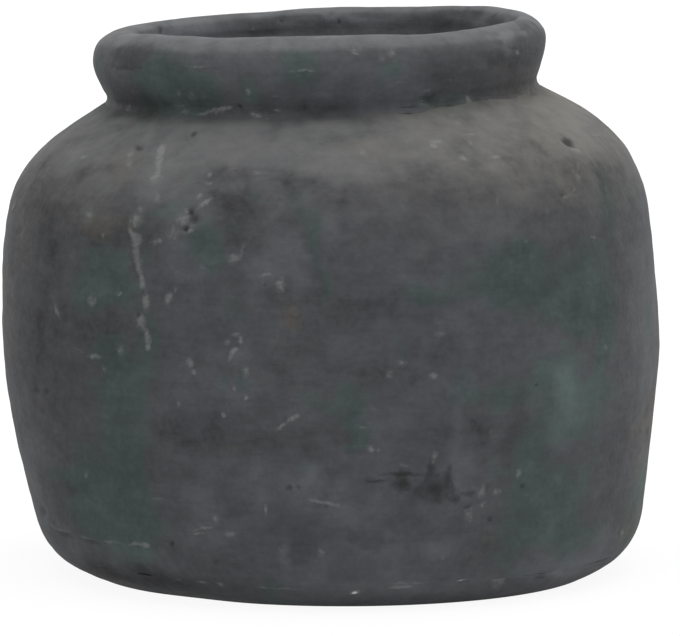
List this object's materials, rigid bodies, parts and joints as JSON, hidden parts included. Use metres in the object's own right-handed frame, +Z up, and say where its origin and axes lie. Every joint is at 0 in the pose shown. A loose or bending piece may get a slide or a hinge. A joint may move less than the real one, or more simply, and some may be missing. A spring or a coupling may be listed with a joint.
{
  "type": "flower pot",
  "caption": "Wide-bellied hand-built clay flower pot with a flat foot, a round shoulder and a thick rolled rim collar.",
  "frame": {"origin": "centre of the flat foot, on the surface the pot stands on", "axes": "+Z up, +X to the pot's right seen from its front, +Y away from the front"},
  "size_m": [0.3016, 0.3008, 0.2543],
  "materials": {
    "smoked_clay": "unglazed fired clay, smoked dark, matt, with a chipped lower edge",
    "grey_clay": "unglazed fired clay, dark grey with soft green-grey and violet-grey clouds, chalky streaks and pits, matt",
    "rim_clay": "unglazed fired clay, mid grey, rubbed paler on top of the lip, fine turning lines, matt"
  },
  "bodies": {
    "root": {"base_slab": "smoked_clay", "body_wall": "grey_clay", "rim_collar": "rim_clay"}
  },
  "joints": []
}
